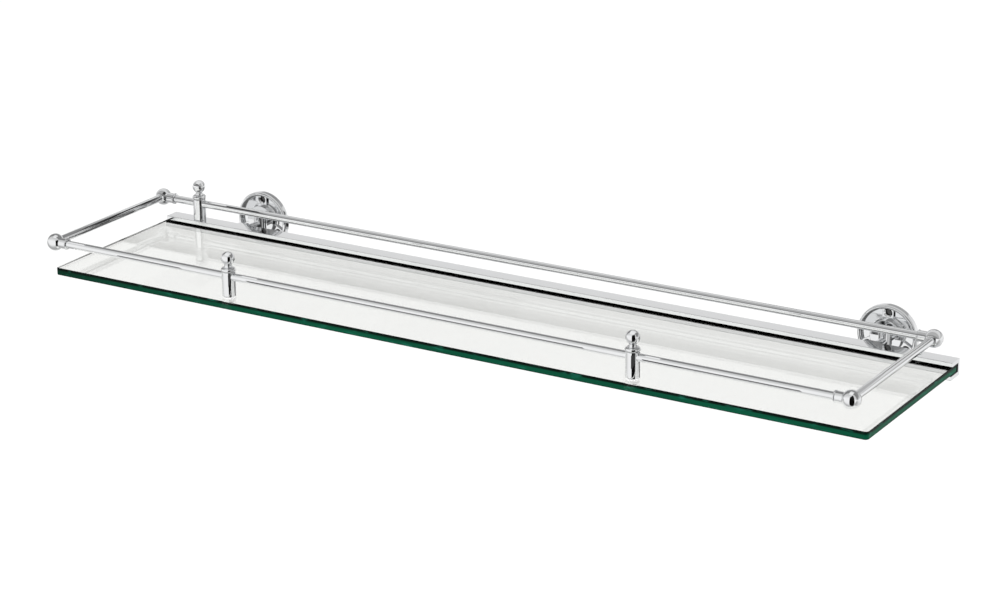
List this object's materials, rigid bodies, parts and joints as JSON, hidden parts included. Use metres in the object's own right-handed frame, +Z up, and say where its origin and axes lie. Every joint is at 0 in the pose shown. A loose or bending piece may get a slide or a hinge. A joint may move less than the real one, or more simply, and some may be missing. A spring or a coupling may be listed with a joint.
{
  "type": "wall-mounted glass shelf with gallery rail",
  "caption": "Long glass shelf held along its back in a channel on two round wall roses, with a tubular gallery rail on turned posts around its top.",
  "frame": {"origin": "on the wall, midway between the top screw holes of the two roses", "axes": "+X along the wall to the right as seen from the room, +Y into the wall, +Z up"},
  "size_m": [0.7043, 0.1865, 0.0601],
  "materials": {
    "polished_chrome": "polished plating",
    "shelf_glass": "clear float glass with polished edges, dark green seen edge on",
    "black_strip": "matt black strip",
    "clear_plastic": "clear moulded plastic",
    "screw_steel": "zinc-plated steel"
  },
  "bodies": {
    "root": {"glass_shelf": "shelf_glass", "glazing_strip": "black_strip", "rear_channel": "polished_chrome", "front_rail": "polished_chrome", "rear_rail": "polished_chrome", "left_side_rail": "polished_chrome", "right_side_rail": "polished_chrome", "front_left_corner_ball": "polished_chrome", "front_right_corner_ball": "polished_chrome", "rear_left_corner_ball": "polished_chrome", "rear_right_corner_ball": "polished_chrome", "front_left_ferrule": "polished_chrome", "front_right_ferrule": "polished_chrome", "rear_left_ferrule": "polished_chrome", "rear_right_ferrule": "polished_chrome", "front_left_post": "polished_chrome", "front_right_post": "polished_chrome", "rear_left_post": "polished_chrome", "front_left_finial": "polished_chrome", "front_right_finial": "polished_chrome", "rear_left_finial": "polished_chrome", "left_wall_rose": "polished_chrome", "right_wall_rose": "polished_chrome", "left_bracket_arm": "polished_chrome", "right_bracket_arm": "polished_chrome", "glass_grub_screws": "screw_steel", "front_post_screws": "screw_steel", "rose_centre_screws": "screw_steel", "saddle_screws": "screw_steel", "front_post_pads": "clear_plastic", "front_post_bushes": "clear_plastic", "front_post_washers": "clear_plastic"}
  },
  "joints": []
}
